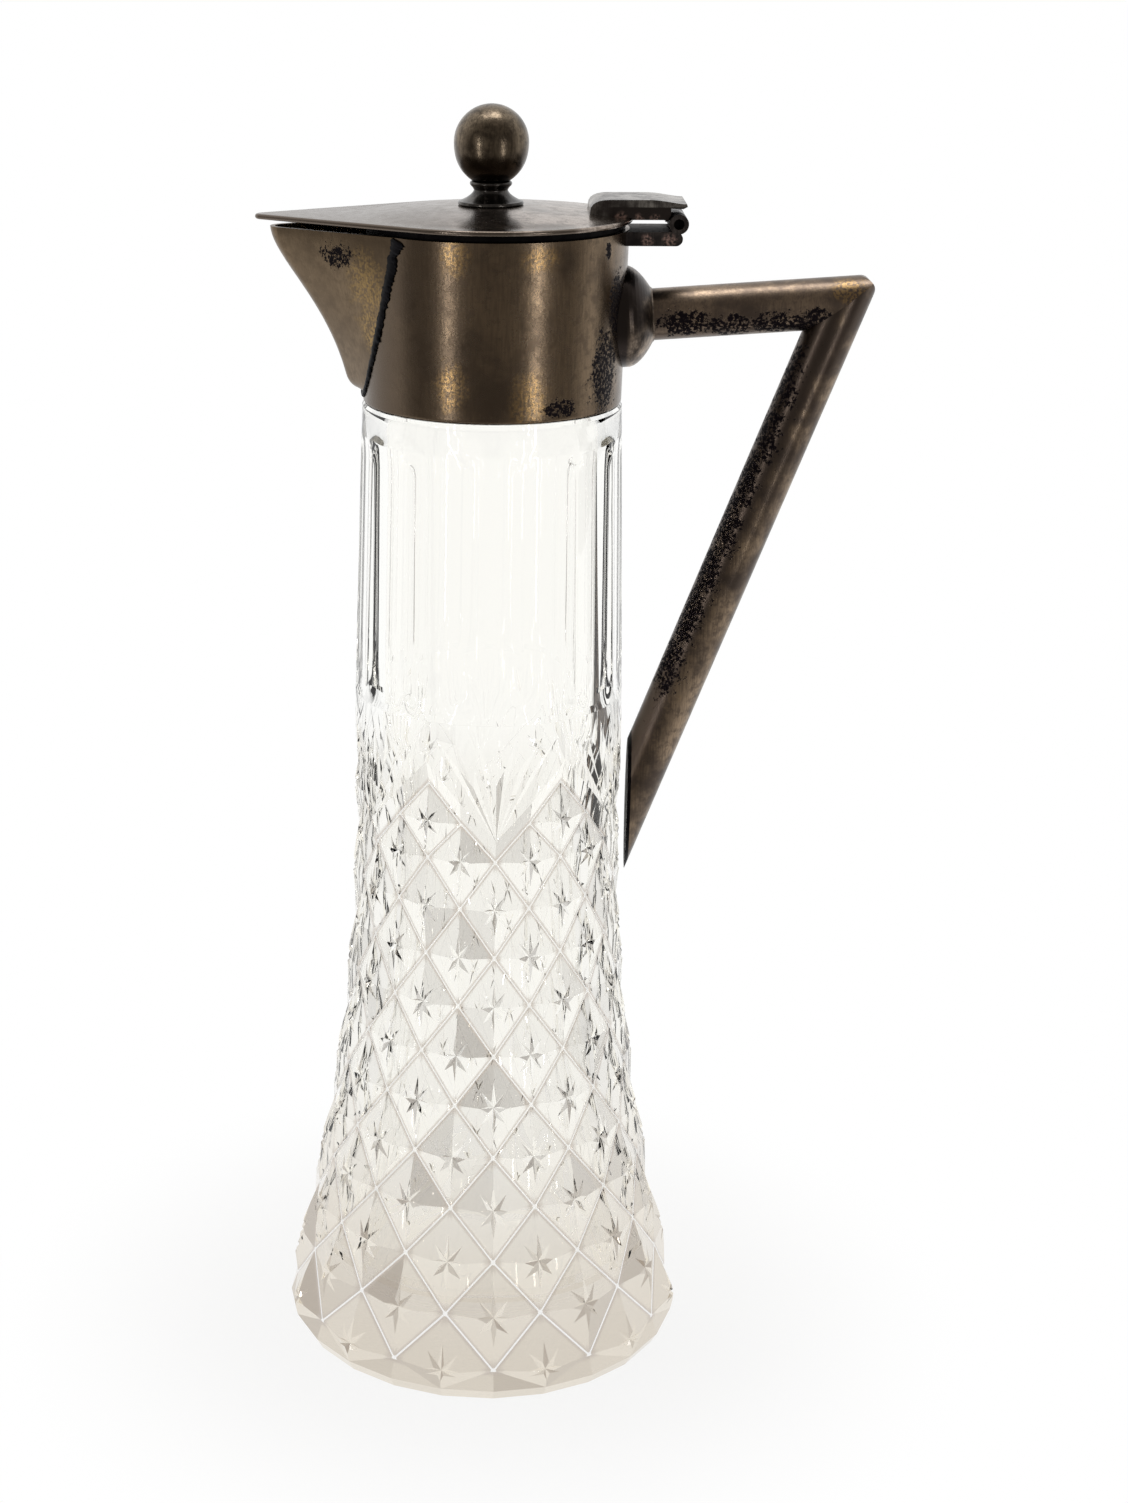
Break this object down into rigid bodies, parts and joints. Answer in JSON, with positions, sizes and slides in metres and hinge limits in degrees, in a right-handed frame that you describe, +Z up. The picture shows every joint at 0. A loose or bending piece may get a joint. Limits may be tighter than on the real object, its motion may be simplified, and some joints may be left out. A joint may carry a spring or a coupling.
{
  "type": "claret jug",
  "caption": "Tall cut-glass claret jug with a plated metal collar, beaked spout, angular tube handle and a hinged lid with a ball finial.",
  "frame": {"origin": "centre of the glass foot, on the surface that the jug stands on", "axes": "+Z up the jug's axis; the spout points along -X; the handle and the lid's hinge lie along +X"},
  "size_m": [0.1415, 0.0998, 0.3052],
  "materials": {
    "cut_glass": "polished clear glass with deep mitre cuts",
    "plaster": "cast plaster, hidden",
    "tarnished_plate": "worn silver plate over brass, fine upright brushing, brown tarnish",
    "lid_plate": "silver plate with a pale satin sheen",
    "hinge_plate": "greyer silver plate, lightly polished by use",
    "dark_metal": "dark oxidised metal"
  },
  "bodies": {
    "jug": {"glass_body": "cut_glass", "plaster_bed": "plaster", "collar_band": "tarnished_plate", "spout": "tarnished_plate", "handle_boss": "tarnished_plate", "handle_upper_arm": "tarnished_plate", "handle_lower_arm": "tarnished_plate", "handle_end_plate": "dark_metal", "hinge_collar_leaf": "hinge_plate", "hinge_pin": "dark_metal"},
    "lid": {"hinge_lid_leaf": "hinge_plate", "lid_plate": "lid_plate", "lid_bezel": "tarnished_plate", "finial_ball": "lid_plate", "finial_spool": "lid_plate", "finial_stud": "dark_metal", "finial_nut": "dark_metal"}
  },
  "joints": [
    {"name": "lid_hinge", "type": "hinge", "parent": "jug", "child": "lid", "pos_m": [0.0415, 0, 0.2795], "axis": [0, 1, 0], "range_deg": [0, 105]}
  ]
}
